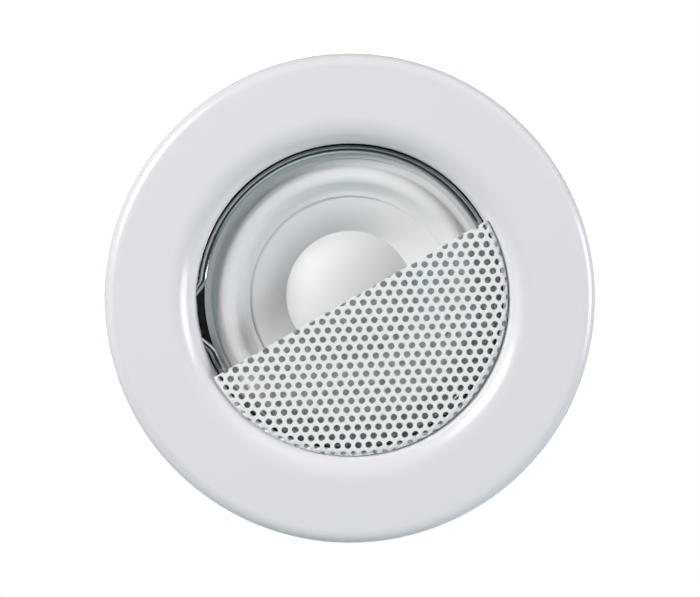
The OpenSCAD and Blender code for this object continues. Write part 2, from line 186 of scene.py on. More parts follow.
def tube(name, path, radius, sides=14, sharp=50):
    """A round wire along points in metres, with its ends slightly rounded off."""
    points = [Vector(p) for p in path]
    taper, back_off = 0.62, 0.35
    first, last = (
        points[end] - (points[end] - points[inner]).normalized() * radius * back_off
        for end, inner in ((0, 1), (-1, -2))
    )
    points = [points[0], first] + points[1:-1] + [last, points[-1]]
    radii = [radius * taper] + [radius] * (len(points) - 2) + [radius * taper]
    tangents = [
        (points[min(i + 1, len(points) - 1)] - points[max(i - 1, 0)]).normalized()
        for i in range(len(points))
    ]
    side = tangents[0].orthogonal().normalized()
    verts = []
    for i, (p, t) in enumerate(zip(points, tangents)):
        if i:
            side = (tangents[i - 1].rotation_difference(t) @ side).normalized()
        side = (side - t * side.dot(t)).normalized()
        other = t.cross(side)
        for k in range(sides):
            a = 2 * math.pi * k / sides
            verts.append(p + radii[i] * (math.cos(a) * side + math.sin(a) * other))
    return add(name, verts, strung_faces(len(points), sides), sharp)


def block(name, low, high):
    """A box in the speaker's own frame, used to cut or join."""
    xs, ys, zs = zip(low, high)
    verts = [place(x, y, z) for x in xs for y in ys for z in zs]
    faces = [(0, 1, 3, 2), (4, 6, 7, 5), (0, 4, 5, 1), (2, 3, 7, 6), (0, 2, 6, 4), (1, 5, 7, 3)]
    return add(name, verts, faces)


def turn(piece, degrees):
    """Turns a piece about the speaker's axis, anticlockwise as the listener sees it."""
    piece.data.transform(Matrix.Rotation(math.radians(-degrees), 4, "Y"))
    return piece


def applied(piece, sharp=35):
    """Replaces a piece's mesh with what its modifiers make of it."""
    bpy.context.view_layer.update()
    graph = bpy.context.evaluated_depsgraph_get()
    mesh = bpy.data.meshes.new_from_object(piece.evaluated_get(graph))
    piece.modifiers.clear()
    old = piece.data
    piece.data = mesh
    bpy.data.meshes.remove(old)
    smooth(mesh, sharp)
    return piece


def combine(piece, others, operation):
    """Cuts the other solids out of a piece, or joins them to it."""
    for other in others:
        modifier = piece.modifiers.new(operation.lower(), "BOOLEAN")
        modifier.operation, modifier.object, modifier.solver = operation, other, "EXACT"
    applied(piece)
    for other in others:
        bpy.data.objects.remove(other)
    return piece


def bevelled(piece, width, segments=2, angle=40):
    """Rounds a piece's edges above an angle, by a width in millimetres."""
    modifier = piece.modifiers.new("bevel", "BEVEL")
    modifier.width, modifier.segments = width * MM, segments
    modifier.limit_method, modifier.angle_limit = "ANGLE", math.radians(angle)
    modifier.use_clamp_overlap = True
    return piece


# ---------------------------------------------------------------- materials

MATERIALS = {}


class Shader:
    """A Principled material with procedural detail in the piece's own coordinates, in metres."""

    def __init__(self, name, colour, rough, metal=0.0, coat=0.0, coat_rough=0.08, spec=0.5):
        MATERIALS[name] = bpy.data.materials.new(name)
        MATERIALS[name].use_nodes = True
        self.tree = MATERIALS[name].node_tree
        self.bsdf = self.tree.nodes["Principled BSDF"]
        self.set("Base Color", (*colour, 1)).set("Roughness", rough).set("Metallic", metal)
        self.set("Coat Weight", coat).set("Coat Roughness", coat_rough).set("Specular IOR Level", spec)
        self.coords = self.node("ShaderNodeTexCoord").outputs["Object"]
        self.last_bump = None

    def set(self, socket, value):
        self.bsdf.inputs[socket].default_value = value
        return self

    def node(self, kind, **values):
        made = self.tree.nodes.new(kind)
        for key, value in values.items():
            setattr(made, key, value)
        return made

    def link(self, source, target):
        self.tree.links.new(source, target)

    def noise(self, size, detail=3.0, stretch=(1, 1, 1), coords=None, distortion=0.0):
        """A noise whose blotches are about size millimetres across."""
        mapping = self.node("ShaderNodeMapping")
        mapping.inputs["Scale"].default_value = [s / (size * MM) for s in stretch]
        self.link(coords or self.coords, mapping.inputs["Vector"])
        made = self.node("ShaderNodeTexNoise")
        made.inputs["Scale"].default_value = 1.0
        made.inputs["Detail"].default_value = detail
        made.inputs["Distortion"].default_value = distortion
        self.link(mapping.outputs[0], made.inputs["Vector"])
        return made.outputs["Fac"]

    def math(self, operation, a, b=None):
        made = self.node("ShaderNodeMath", operation=operation)
        for socket, value in zip(made.inputs, (a, b)):
            if isinstance(value, (int, float)):
                socket.default_value = value
            elif value is not None:
                self.link(value, socket)
        return made.outputs[0]

    def axis_radius(self):
        """Distance from the speaker's axis."""
        split = self.node("ShaderNodeSeparateXYZ")
        self.link(self.coords, split.inputs[0])
        squares = self.math(
            "ADD",
            self.math("MULTIPLY", split.outputs["X"], split.outputs["X"]),
            self.math("MULTIPLY", split.outputs["Z"], split.outputs["Z"]),
        )
        return self.math("SQRT", squares)

    def turned(self, pitch):
        """Fine rings about the speaker's axis, as a lathe or a grinder leaves them."""
        made = self.node("ShaderNodeTexNoise", noise_dimensions="1D")
        made.inputs["Scale"].default_value = 1.0
        made.inputs["Detail"].default_value = 4.0
        self.link(self.math("MULTIPLY", self.axis_radius(), 1 / (pitch * MM)), made.inputs["W"])
        return made.outputs["Fac"]

    def ramp(self, fac, low, high, start=0.35, end=0.65):
        made = self.node("ShaderNodeMapRange")
        made.inputs["From Min"].default_value = start
        made.inputs["From Max"].default_value = end
        made.inputs["To Min"].default_value = low
        made.inputs["To Max"].default_value = high
        self.link(fac, made.inputs["Value"])
        return made.outputs[0]

    def tint(self, fac, other, start=0.35, end=0.65, amount=1.0):
        """Mixes the colour so far with another by a noise."""
        made = self.node("ShaderNodeMix", data_type="RGBA")
        share, first, second, mixed = made.inputs[0], made.inputs[6], made.inputs[7], made.outputs[2]
        base = self.bsdf.inputs["Base Color"]
        if base.is_linked:
            self.link(base.links[0].from_socket, first)
        else:
            first.default_value = base.default_value
        second.default_value = (*other, 1)
        self.link(self.ramp(fac, 0.0, amount, start, end), share)
        self.link(mixed, base)
        return self

    def roughen(self, fac, low, high, start=0.35, end=0.65):
        self.link(self.ramp(fac, low, high, start, end), self.bsdf.inputs["Roughness"])
        return self

    def bump(self, height, depth, coat=False):
        """Adds relief of about depth millimetres."""
        made = self.node("ShaderNodeBump")
        made.inputs["Strength"].default_value = 1.0
        made.inputs["Distance"].default_value = depth * MM
        self.link(height, made.inputs["Height"])
        if self.last_bump:
            self.link(self.last_bump, made.inputs["Normal"])
        self.last_bump = made.outputs[0]
        self.link(self.last_bump, self.bsdf.inputs["Normal"])
        if coat:
            self.link(self.last_bump, self.bsdf.inputs["Coat Normal"])
        return self


def make_materials():
    m = Shader("ring_paint", (0.78, 0.77, 0.80), 0.3, coat=0.3, coat_rough=0.18)
    m.tint(m.noise(14, 2), (0.773, 0.763, 0.793), 0.2, 0.8, 0.6)
    m.roughen(m.noise(0.35, 2), 0.28, 0.32)
    m.bump(m.noise(0.35, 2), 0.0003, coat=True)

    m = Shader("grille_paint", (0.825, 0.835, 0.84), 0.42, coat=0.12, coat_rough=0.3)
    m.tint(m.noise(6, 2), (0.81, 0.82, 0.825), 0.2, 0.8, 0.6)
    m.roughen(m.noise(1.2, 4), 0.36, 0.5)
    m.bump(m.noise(0.35, 3), 0.004)

    m = Shader("spring_steel", (0.60, 0.61, 0.62), 0.16, metal=1.0)
    m.tint(m.noise(2.5, 5), (0.50, 0.50, 0.51), 0.2, 0.8, 0.5)
    m.roughen(m.noise(0.5, 3), 0.12, 0.22)
    m.bump(m.noise(0.4, 2, (0.3, 1, 1)), 0.0015)

    m = Shader("gasket_foam", (0.012, 0.013, 0.013), 0.85, spec=0.25)
    m.tint(m.noise(0.5, 4), (0.03, 0.032, 0.033), amount=0.7)
    m.bump(m.noise(0.22, 3), 0.05)

    m = Shader("frame_steel", (0.70, 0.71, 0.73), 0.32, coat=0.25, coat_rough=0.15)
    m.tint(m.noise(5, 4), (0.64, 0.65, 0.67), amount=0.5)
    m.roughen(m.noise(1.5, 4), 0.25, 0.42)
    m.bump(m.noise(0.6, 2), 0.003)

    m = Shader("surround_rubber", (0.85, 0.855, 0.865), 0.34, spec=0.5)
    m.tint(m.noise(2.2, 4), (0.83, 0.837, 0.847), amount=0.5)
    m.roughen(m.noise(0.9, 4), 0.32, 0.46)
    m.bump(m.noise(0.18, 3), 0.004).bump(m.turned(0.25), 0.003)
    m.set("Subsurface Weight", 0.08).set("Subsurface Radius", (0.6 * MM, 0.6 * MM, 0.6 * MM))

    m = Shader("cone_plastic", (0.87, 0.875, 0.885), 0.45, spec=0.45)
    m.tint(m.noise(3.0, 5), (0.85, 0.857, 0.867), amount=0.6)
    m.roughen(m.noise(0.7, 4), 0.4, 0.55)
    m.bump(m.turned(0.3), 0.005).bump(m.noise(0.15, 3), 0.003)

    m = Shader("cap_plastic", (0.84, 0.84, 0.84), 0.48, spec=0.45)
    m.tint(m.noise(3.5, 5), (0.82, 0.82, 0.825), amount=0.6)
    m.roughen(m.noise(0.6, 4), 0.42, 0.56)
    m.bump(m.noise(0.14, 3), 0.004)

    m = Shader("former_film", (0.42, 0.20, 0.05), 0.3, coat=0.3)
    m.tint(m.noise(1.5, 4), (0.30, 0.13, 0.03), amount=0.6)
    m.bump(m.noise(0.4, 3), 0.003)

    m = Shader("copper_wire", (0.62, 0.22, 0.09), 0.3, metal=1.0)
    m.tint(m.noise(0.8, 4), (0.42, 0.13, 0.05), amount=0.6)
    wave = m.node("ShaderNodeTexWave", wave_type="BANDS", bands_direction="Y")
    wave.inputs["Scale"].default_value = 1 / (0.22 * MM) / math.pi
    m.link(m.coords, wave.inputs["Vector"])
    m.bump(wave.outputs["Fac"], 0.06)

    m = Shader("spider_cloth", (0.50, 0.33, 0.10), 0.62)
    m.tint(m.noise(1.1, 4), (0.38, 0.23, 0.06), amount=0.7)
    for direction in ("X", "Z"):
        wave = m.node("ShaderNodeTexWave", wave_type="BANDS", bands_direction=direction)
        wave.inputs["Scale"].default_value = 330
        wave.inputs["Distortion"].default_value = 0.6
        m.link(m.coords, wave.inputs["Vector"])
        m.bump(wave.outputs["Fac"], 0.05)

    m = Shader("zinc_plate", (0.60, 0.61, 0.62), 0.34, metal=1.0)
    m.tint(m.noise(5, 5), (0.53, 0.52, 0.46), amount=0.55)
    m.tint(m.noise(9, 3, distortion=1.0), (0.50, 0.55, 0.62), amount=0.4)
    m.roughen(m.turned(0.35), 0.31, 0.38)
    m.bump(m.turned(0.18), 0.0015).bump(m.noise(0.5, 3), 0.0015)

    m = Shader("ferrite", (0.045, 0.045, 0.05), 0.6, spec=0.4)
    m.tint(m.noise(0.6, 6), (0.085, 0.085, 0.09), amount=0.8)
    m.roughen(m.noise(0.8, 5), 0.5, 0.75)
    m.bump(m.noise(0.3, 5), 0.02)

    m = Shader("rivet_metal", (0.66, 0.67, 0.68), 0.28, metal=1.0)
    m.tint(m.noise(0.9, 4), (0.5, 0.51, 0.52), amount=0.6)
    m.roughen(m.noise(0.3, 4), 0.2, 0.4)
    m.bump(m.noise(0.35, 3), 0.006)

    m = Shader("phenolic_board", (0.24, 0.10, 0.035), 0.42, coat=0.15, coat_rough=0.3)
    m.tint(m.noise(0.7, 6, (1, 1, 5)), (0.36, 0.17, 0.06), amount=0.8)
    m.bump(m.noise(0.3, 4, (1, 1, 4)), 0.006)

    m = Shader("tag_brass", (0.70, 0.68, 0.63), 0.26, metal=1.0)
    m.tint(m.noise(1.6, 3), (0.62, 0.59, 0.52), amount=0.5)
    m.roughen(m.noise(0.7, 2), 0.22, 0.3)

    m = Shader("lead_braid", (0.55, 0.26, 0.12), 0.4, metal=1.0)
    m.tint(m.noise(0.2, 3), (0.35, 0.14, 0.06), amount=0.7)
    checks = m.node("ShaderNodeTexVoronoi")
    checks.inputs["Scale"].default_value = 1 / (0.16 * MM)
    m.link(m.coords, checks.inputs["Vector"])
    m.bump(checks.outputs["Distance"], 0.05)

    m = Shader("bracket_zinc", (0.62, 0.63, 0.65), 0.34, metal=1.0)
    m.tint(m.noise(2.6, 5), (0.54, 0.52, 0.45), amount=0.5)
    m.roughen(m.noise(0.6, 5), 0.26, 0.46)
    m.bump(m.noise(0.35, 4), 0.004)

    m = Shader("sleeve_plastic", (0.72, 0.72, 0.70), 0.42, spec=0.5)
    m.tint(m.noise(1.5, 4), (0.66, 0.66, 0.63), amount=0.5)
    m.bump(m.noise(0.3, 3), 0.005)

    m = Shader("solder", (0.68, 0.68, 0.69), 0.22, metal=1.0)
    m.tint(m.noise(0.5, 4), (0.5, 0.5, 0.52), amount=0.6)
    m.bump(m.noise(0.4, 3), 0.02)

    m = Shader("dark_glue", (0.03, 0.028, 0.026), 0.35, coat=0.3)
    m.tint(m.noise(0.8, 4), (0.06, 0.055, 0.05), amount=0.6)
    m.bump(m.noise(0.6, 3), 0.03)


make_materials()
SLOTS = {s["node"]: s["material_slot"] for s in frame["record"]["subparts"]}
for node, obj in NODES.items():
    obj.data.materials.clear()
    obj.data.materials.append(MATERIALS[SLOTS[node]])


def finish_piece(piece, node, body, slot=None, material=None):
    """Gives a piece its material and body, and hides the CAD node that it stands for."""
    slot = slot or SLOTS[node]
    piece.data.materials.clear()
    piece.data.materials.append(MATERIALS[material or slot])
    if body:
        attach(piece, body)
    if node:
        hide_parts(node)
    return piece


# ---------------------------------------------------------------- trim ring

def slot_cutter():
    """A block bent along the collar, that cuts the slot where the retaining ring's ends come out."""
    steps, half, half_width = 12, 14, 0.85
    slot = [
        (r, CLIP_GAP_MID - half + 2 * half * i / steps, z)
        for i in range(steps + 1)
        for r, z in (
            (MOUTH_R - 1, -CLIP_DEPTH - half_width), (COLLAR_R + 1, -CLIP_DEPTH - half_width),
            (COLLAR_R + 1, -CLIP_DEPTH + half_width), (MOUTH_R - 1, -CLIP_DEPTH + half_width),
        )
    ]
    verts = [place(r * math.cos(math.radians(a)), r * math.sin(math.radians(a)), z) for r, a, z in slot]
    faces = [(0, 1, 2, 3), tuple(steps * 4 + k for k in (3, 2, 1, 0))]
    faces += [
        (i * 4 + k, i * 4 + 4 + k, i * 4 + 4 + (k + 1) % 4, i * 4 + (k + 1) % 4)
        for i in range(steps) for k in range(4)
    ]
    return add("slot", verts, faces)


def trim_ring():
    face = (RING_R - EDGE_ROLL, RING_H - EDGE_ROLL)
    roll = (MOUTH_R + MOUTH_ROLL, RING_H - MOUTH_ROLL)
    inset = 0.3
    groove = (MOUTH_R - inset, -CLIP_DEPTH)
    groove_r = CLIP_R + 0.05
    bead_r = groove_r + SHEET
    groove_a = math.degrees(math.acos(inset / groove_r))
    bead_a = math.degrees(math.acos((inset + SHEET) / bead_r))
    soft = 0.15
    profile = (
        arc((RING_R - soft, soft), soft, -90, 0, 3)
        + arc(face, EDGE_ROLL, 0, 90, 20)
        + [(r, RING_H) for r in (37.5, 36, 34.5, 33, 31.6)]
        + arc(roll, MOUTH_ROLL, 90, 180, 40)
        + [(MOUTH_R, -1.3)]
        + arc(groove, groove_r, groove_a, -groove_a, 12)
        + [(MOUTH_R, -6), (MOUTH_R, -10), (MOUTH_R, COLLAR_BACK + soft)]
        + [(MOUTH_R + soft, COLLAR_BACK), (COLLAR_R - soft, COLLAR_BACK), (COLLAR_R, COLLAR_BACK + soft)]
        + [(COLLAR_R, -10), (COLLAR_R, -6)]
        + arc(groove, bead_r, -bead_a, bead_a, 12)
        + arc(roll, MOUTH_ROLL - SHEET, 180, 90, 30)
        + [(r, RING_H - SHEET) for r in (33, 35.5)]
        + arc(face, EDGE_ROLL - SHEET, 90, 0, 12)
        + arc((RING_R - SHEET + soft, soft), soft, 180, 270, 3)
    )
    ring = lathe("trim_ring_body", profile, segments=288)
    cutters, tabs = [], []
    for a in DIAGONALS:
        cutters.append(turn(block("window", (MOUTH_R - 2, -3, TAB_Z - 4.2), (MOUTH_R + 2, 3, TAB_Z - 1)), a))
        tabs.append(turn(block("tab", (23.9, -3, TAB_Z - SHEET), (MOUTH_R + 0.5, 3, TAB_Z)), a))
    cutters.append(slot_cutter())
    combine(ring, tabs, "UNION")
    combine(ring, cutters, "DIFFERENCE")
    return finish_piece(ring, "trim_ring", "speaker")


# ---------------------------------------------------------------- grille

def punched_cells(reach, cut):
    """Six-sided cells that tile the sheet while it is flat, each with a hole that is left shut past the rim."""
    around = 24
    tilt = math.radians(ROW_TURN)
    grow = (PITCH, ROW / math.sin(math.radians(60)))
    verts, faces = [], []
    n = int(reach / ROW) + 4

    def turned(x, y):
        return (x * math.cos(tilt) - y * math.sin(tilt), x * math.sin(tilt) + y * math.cos(tilt))

    for j in range(-n, n + 1):
        for i in range(-2 * n, 2 * n + 1):
            x, y = turned((i + j / 2) * PITCH, j * ROW)
            x, y = x + FIRST_HOLE[0], y + FIRST_HOLE[1]
            if math.hypot(x, y) > reach + PITCH or x * cut[0] + y * cut[1] < -PITCH:
                continue
            base = len(verts)
            shut = math.hypot(x, y) > reach - HOLE_R * 0.4
            for k in range(around):
                a = 2 * math.pi * k / around
                near = round(a / (math.pi / 3)) * math.pi / 3
                edge = 0.5 / math.cos(a - near)
                ex, ey = turned(edge * math.cos(a) * grow[0], edge * math.sin(a) * grow[1])
                hx, hy = HOLE_R * math.cos(a + tilt), HOLE_R * math.sin(a + tilt)
                verts += [(x + hx, y + hy, 0), (x + (hx + ex) / 2, y + (hy + ey) / 2, 0), (x + ex, y + ey, 0)]
            for k in range(around):
                m = (k + 1) % around
                for p, q in ((base + 3 * k, base + 3 * m), (base + 3 * k + 1, base + 3 * m + 1)):
                    faces.append((p, p + 1, q + 1, q))
            if shut:
                faces.append(tuple(base + 3 * k for k in range(around)))
    return verts, faces


def grille():
    """A punched sheet whose rim is rolled back after punching, so that the outer holes run over the edge."""
    flat_r = GRILLE_R - RIM_ROUND
    reach = flat_r + RIM_ROUND * math.pi / 2
    cut = (math.sin(math.radians(CUT_TURN)), -math.cos(math.radians(CUT_TURN)))
    verts, faces = punched_cells(reach, cut)
    mesh = bpy.data.meshes.new("grille_sheet")
    mesh.from_pydata(verts, [], faces)
    bm = bmesh.new()
    bm.from_mesh(mesh)
    bmesh.ops.remove_doubles(bm, verts=bm.verts, dist=0.01)
    far = [f for f in bm.faces if all(math.hypot(v.co.x, v.co.y) > reach for v in f.verts)]
    bmesh.ops.delete(bm, geom=far, context="FACES")
    for v in bm.verts:
        s = math.hypot(v.co.x, v.co.y)
        if s > reach:
            v.co *= reach / s
    bmesh.ops.bisect_plane(
        bm, geom=bm.verts[:] + bm.edges[:] + bm.faces[:], dist=1e-4,
        plane_co=(0, 0, 0), plane_no=(-cut[0], -cut[1], 0), clear_outer=True,
    )
    bmesh.ops.remove_doubles(bm, verts=bm.verts, dist=0.02)
    bmesh.ops.dissolve_degenerate(bm, dist=0.01, edges=bm.edges)
    for v in bm.verts:
        s = math.hypot(v.co.x, v.co.y)
        r, z = s, GRILLE_H
        if s > flat_r:
            bend = (s - flat_r) / RIM_ROUND
            r = flat_r + RIM_ROUND * math.sin(bend)
            z = GRILLE_H - RIM_ROUND * (1 - math.cos(bend))
        v.co = place(v.co.x * r / max(s, 1e-6), v.co.y * r / max(s, 1e-6), z)
    bmesh.ops.recalc_face_normals(bm, faces=bm.faces)
    front = sum((f.normal * f.calc_area() for f in bm.faces), Vector())
    if front.y > 0:
        bmesh.ops.reverse_faces(bm, faces=bm.faces)
    bm.to_mesh(mesh)
    bm.free()
    sheet = bpy.data.objects.new("grille_sheet", mesh)
    bpy.context.scene.collection.objects.link(sheet)
    thick = sheet.modifiers.new("thickness", "SOLIDIFY")
    thick.thickness, thick.offset = GRILLE_T * MM, -1.0
    bevelled(sheet, 0.05, 2, 50)
    applied(sheet, 40)
    return finish_piece(sheet, "grille", "speaker")


# ---------------------------------------------------------------- driver, front

def retaining_ring():
    bend, gap_half, out, steps = 10.0, 5.0, 2.0, 480
    start, span = CLIP_GAP_MID - gap_half, 360 - 2 * gap_half
    path = []
    for i in range(steps + 1):
        along = span * i / steps
        near = min(along, span - along) / bend
        r = CLIP_RING_R + (out * (1 - ease(near)) if near < 1 else 0)
        a = math.radians(start - along)
        path.append(place(r * math.cos(a), r * math.sin(a), -CLIP_DEPTH))
    wire = tube("retaining_ring_wire", path, (CLIP_R - 0.005) * MM, sides=24)
    return finish_piece(wire, "retaining_ring", "speaker")


def rim_gasket():
    top, foot, soft = GASKET_Z - HAIR, RIM_Z + HAIR, 0.12
    inner, outer = LIP_R + 0.05, RIM_R
    profile = [
        (inner, foot), (outer, foot), (outer, top - soft), (outer - soft, top),
        (inner + soft, top), (inner, top - soft),
    ]
    return finish_piece(lathe("rim_gasket_foam", profile), "rim_gasket", "speaker")


def blend_by_radius(piece, inner, outer):
    """A ring fixed to the frame outside one radius and to the cone inside another."""
    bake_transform(piece, "speaker", "diaphragm", start=place(outer, 0, 0), end=place(inner, 0, 0))
    weights = piece.data.attributes["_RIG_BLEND"].data
    for v in piece.data.vertices:
        r = math.hypot(v.co.x, v.co.z) / MM
        weights[v.index].value = ease((outer - r) / (outer - inner))
    return piece


CONE_EDGE = (18.3, FLANGE_Z - SURROUND_T - HAIR)
CONE_SEAM = (SEAM_R, CONE_EDGE[1] - 0.42 * (CONE_EDGE[0] - SEAM_R))
CONE = [CONE_EDGE] + bezier(CONE_SEAM, (11.9, -5.3), (COIL_R + 0.08, -11.2), 40)


def surround():
    half = (ROLL_OUT - ROLL_IN) / 2
    bow = (half * half + ROLL_RISE * ROLL_RISE) / (2 * ROLL_RISE)
    centre = (ROLL_IN + half, FLANGE_Z + ROLL_RISE - bow)
    a = math.degrees(math.asin(half / bow))
    seam_z = CONE[1][1] + HAIR
    edge, leave = 0.12, math.radians(90 + a * 0.6)
    last = (centre[0] + bow * math.cos(leave), centre[1] + bow * math.sin(leave))
    foot, flat = (SEAM_R + 0.55, seam_z + SURROUND_T + 0.13), 0.3
    steep = 1 / math.tan(math.pi - leave)
    run = (last[1] - foot[1] - flat * (last[0] - foot[0])) / (steep - flat)
    fillet = bezier(last, (last[0] - run, last[1] - run * steep), foot, 14)
    profile = (
        [(LIP_IN_R - HAIR, FLANGE_Z - 0.05), (LIP_IN_R - 0.12, FLANGE_Z), (ROLL_OUT + 0.5, FLANGE_Z)]
        + [(ROLL_OUT + 0.22, FLANGE_Z + 0.03)]
        + arc(centre, bow, 90 - a * 0.93, 90 + a * 0.58, 28)
        + fillet
        + arc((SEAM_R + edge, seam_z + SURROUND_T - edge), edge, 100, 180, 5)
        + [(SEAM_R, seam_z)]
        + [(CONE[0][0], CONE[0][1] + HAIR), (ROLL_IN, FLANGE_Z - SURROUND_T)]
        + arc(centre, bow - SURROUND_T, 90 + a * 0.94, 90 - a * 0.94, 24)
        + [(ROLL_OUT, FLANGE_Z - SURROUND_T), (LIP_IN_R - HAIR, FLANGE_Z - SURROUND_T)]
    )
    piece = lathe("surround_roll", profile, 240, sharp=60)
    finish_piece(piece, "surround", None)
    return blend_by_radius(piece, ROLL_IN, ROLL_OUT)


def cone_front(r):
    """Height of the cone's front face at a radius."""
    for (r1, z1), (r0, z0) in zip(CONE, CONE[1:]):
        if r0 <= r <= r1:
            return z0 + (z1 - z0) * (r - r0) / (r1 - r0)
    raise ValueError(r)


def cone():
    thick = 0.35
    profile = CONE + [(r, z - thick) for r, z in reversed(CONE)]
    return finish_piece(lathe("cone_body", profile, 240, sharp=50), "cone", "diaphragm")


def dust_cap():
    rise, thick = 3.0, 0.3
    edge_z = cone_front(CAP_R) + HAIR
    dome = (CAP_R * CAP_R + rise * rise) / (2 * rise)
    centre = (0.0, edge_z + rise - dome)
    a = math.degrees(math.asin(CAP_R / dome))
    inner = math.degrees(math.asin((CAP_R - 0.35) / (dome - thick)))
    profile = arc(centre, dome, 90 - a, 90, 36) + arc(centre, dome - thick, 90, 90 - inner, 30)
    profile = [(r if r > 1e-4 else 0.0, z) for r, z in profile]
    return finish_piece(lathe("dust_cap_dome", profile, 240, sharp=50), "dust_cap", "diaphragm")


# ---------------------------------------------------------------- driver, back

def spun(name, profile, origin, axis, segments=48, sharp=40):
    """Turns a closed profile of (r, h) points about an axis through a point of the speaker's own frame."""
    centre = place(*origin)
    h_dir = (place(*(Vector(origin) + Vector(axis))) - centre).normalized()
    side = h_dir.orthogonal().normalized()
    other = h_dir.cross(side)
    verts = []
    for i in range(segments):
        a = 2 * math.pi * i / segments
        verts += [
            centre + (h * h_dir + r * (math.cos(a) * side + math.sin(a) * other)) * MM
            for r, h in profile
        ]
    return add(name, verts, turned_faces(profile, segments), sharp, merge=1e-7)


def spider():
    inner_r, wave_from, wave_to, foot_r, outer_r = COIL_R + 0.08, 7.7, 13.3, 14.4, 15.55
    waves, swing, steps, thick = 3, 0.5, 72, 0.3
    face_z = LEDGE_Z + HAIR + thick
    front = [(inner_r, face_z)]
    front += [
        (
            wave_from + (wave_to - wave_from) * i / steps,
            face_z + swing * math.sin(2 * math.pi * waves * i / steps),
        )
        for i in range(steps + 1)
    ]
    front += [(foot_r, face_z), (outer_r, face_z)]
    profile = front + [(r, z - thick) for r, z in reversed(front)]
    piece = lathe("spider_cloth_disc", profile, 200, sharp=60)
    finish_piece(piece, "spider", None)
    return blend_by_radius(piece, wave_from, wave_to)


def coil_winding():
    """Two layers' outline: one small arc for each turn of wire."""
    inner, outer, back, front, turns = COIL_R + 0.07, COIL_R + 0.4, -19.2, -15.2, 22
    pitch = (front - back) / turns
    profile = [(inner, back), (inner, front)]
    for k in range(turns):
        profile += arc((outer - pitch / 2, front - pitch * (k + 0.5)), pitch / 2, 75, -75, 4)
    return finish_piece(lathe("voice_coil_turns", profile, 144, sharp=60), "coil_winding", "diaphragm")


def lead(side):
    """A twisted tinsel lead, slack between the back of the cone and its eyelet."""
    start = Vector((side * LEAD_X, LEAD_Y, cone_front(LEAD_R) - 0.65))
    eyelet = Vector((side * EYELET_X, BOARD_Y, PLATE_Z - HAIR + 0.8))
    control = Vector((side * 5.2, 20.5, -9.4))
    steps, strands, sides, twists, radius = 150, 5, 30, 9, 0.29 * MM
    points = [
        place(*((1 - t) * (1 - t) * start + 2 * t * (1 - t) * control + t * t * eyelet))
        for t in (i / steps for i in range(steps + 1))
    ]
    verts, along = [], []
    side_dir = Vector((1, 0, 0))
    for i, p in enumerate(points):
        t = (points[min(i + 1, steps)] - points[max(i - 1, 0)]).normalized()
        side_dir = (side_dir - t * side_dir.dot(t)).normalized()
        other = t.cross(side_dir)
        for k in range(sides):
            a = 2 * math.pi * k / sides
            r = radius * (0.86 + 0.14 * abs(math.cos(strands / 2 * a)))
            b = a + 2 * math.pi * twists * i / steps
            verts.append(p + r * (math.cos(b) * side_dir + math.sin(b) * other))
            along.append(i / steps)
    name = "lead_left" if side < 0 else "lead_right"
    piece = add(name + "_tinsel", verts, strung_faces(steps + 1, sides), 60)
    finish_piece(piece, name, None)
    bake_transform(piece, "speaker", "diaphragm", start=points[-1], end=points[0])
    weights = piece.data.attributes["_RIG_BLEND"].data
    held, bending = 0.08, 0.72
    for v, t in enumerate(along):
        weights[v].value = ease(1 - (t - held) / bending)
    return piece


def blob(name, centre, axis, radius, height, body, slot, material):
    """A small domed drop, such as solder or glue, sitting on a face."""
    sunk, steps = -0.1, 8
    profile = [(0, sunk), (radius, sunk)]
    profile += [
        (radius * math.cos(a) ** 0.7, height * math.sin(a))
        for a in (math.pi / 2 * i / steps for i in range(steps))
    ]
    profile.append((0.0, height))
    piece = spun(name, profile, centre, axis, 32)
    return finish_piece(piece, None, body, slot, material)


def soldered_ends():
    for side, word in ((-1, "left"), (1, "right")):
        blob(
            f"solder_{word}", (side * EYELET_X, BOARD_Y, PLATE_Z + 0.32), (0, 0, 1), 0.8, 0.75,
            "speaker", "tag_brass", "solder",
        )
        blob(
            f"glue_{word}", (side * LEAD_X, LEAD_Y, cone_front(LEAD_R) - 0.35), (side * 0.22, 0.56, -0.8),
            0.75, 0.45, "diaphragm", "lead_braid", "dark_glue",
        )


def glue_joint(name, radius, z, size):
    """A thin irregular bead of glue squeezed out where the magnet meets a plate."""
    verts, faces, around, sides = [], [], 220, 8
    for i in range(around):
        a = 2 * math.pi * i / around
        waves = 0.2 * math.sin(3 * a + z) + 0.12 * math.sin(11 * a + 2 * z) + 0.08 * math.sin(23 * a)
        swell = size * (0.75 + waves)
        for k in range(sides):
            b = 2 * math.pi * k / sides
            r = radius + swell * math.cos(b)
            verts.append(place(r * math.cos(a), r * math.sin(a), z + swell * 0.6 * math.sin(b)))
    for i in range(around):
        j = (i + 1) % around
        for k in range(sides):
            m = (k + 1) % sides
            faces.append((i * sides + k, j * sides + k, j * sides + m, i * sides + m))
    return finish_piece(add(name, verts, faces, 60), None, "speaker", "ferrite", "dark_glue")


# ---------------------------------------------------------------- spring clips

def domed(radius, height, base, rim=0.25, dimple=0.0):
    """The outline of a rivet head on a face at height base, from its rim to the axis."""
    head = [(radius, base), (radius, base + rim * height)]
    head += [
        (radius * math.cos(a), base + height * (rim + (1 - rim) * math.sin(a)))
        for a in (math.pi / 2 * i / 8 for i in range(1, 8))
    ]
    return head + [(0.0, base + height * (1 - dimple))]


